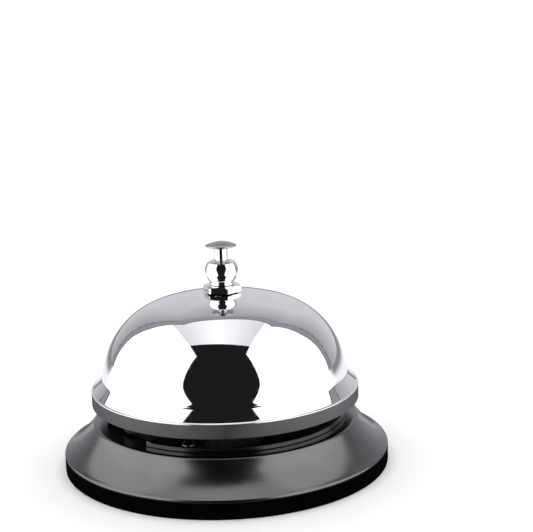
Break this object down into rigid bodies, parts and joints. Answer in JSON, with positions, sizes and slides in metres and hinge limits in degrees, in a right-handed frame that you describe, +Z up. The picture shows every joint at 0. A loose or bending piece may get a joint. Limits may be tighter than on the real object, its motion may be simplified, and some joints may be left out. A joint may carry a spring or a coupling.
{
  "type": "service bell",
  "caption": "Desk call bell: chromed gong over a flared black base, rung by a top press button that tips a lever and hammer against the inside of the gong.",
  "frame": {"origin": "centre of the flat face of the rubber foot ring that the bell stands on", "axes": "+Z up along the gong's axis; the picture is taken from the -Y side"},
  "size_m": [0.085, 0.085, 0.0583],
  "materials": {
    "chrome": "mirror polished plate",
    "nickel": "soft polished plate",
    "black_enamel": "satin gloss black",
    "black_oxide": "matt black",
    "rubber": "matt",
    "zinc": "zinc plated",
    "spring_steel": "drawn wire",
    "fibre": "vulcanised fibre"
  },
  "bodies": {
    "stand": {"rubber_foot_ring": "rubber", "base_shell": "black_enamel", "deck_plate": "black_enamel", "deck_rivet_1": "black_enamel", "deck_rivet_2": "black_enamel", "deck_rivet_3": "black_enamel", "striker_frame": "zinc", "frame_rivet_1": "zinc", "frame_rivet_2": "zinc", "frame_rivet_3": "zinc", "frame_rivet_4": "zinc", "hollow_post": "zinc", "post_lock_washer": "zinc", "post_nut": "zinc", "gong_seat_nut": "zinc", "fibre_washer": "fibre", "gong": "chrome", "clamp_nut": "chrome", "ball_finial": "chrome", "return_spring": "spring_steel", "pivot_pin": "zinc", "pivot_clip": "spring_steel"},
    "plunger": {"plunger_rod": "chrome", "press_button": "nickel", "rod_clip": "spring_steel"},
    "striker": {"striker_lever": "black_oxide", "hammer": "black_oxide", "hammer_rivet": "black_oxide"}
  },
  "joints": [
    {"name": "plunger_slide", "type": "slide", "parent": "stand", "child": "plunger", "axis": [0, 0, -1], "range_m": [0, 0.0026], "stiffness_N_per_m": 600, "springref_m": -0.002, "deforming": ["return_spring"]},
    {"name": "lever_hinge", "type": "hinge", "parent": "stand", "child": "striker", "pos_m": [-0.00636, -0.00397, 0.021], "axis": [-0.5299, 0.848, 0], "range_deg": [0, 17.6]}
  ],
  "couplings": [
    {"joint": "lever_hinge", "follows": "plunger_slide", "rad_per_m": 118}
  ]
}
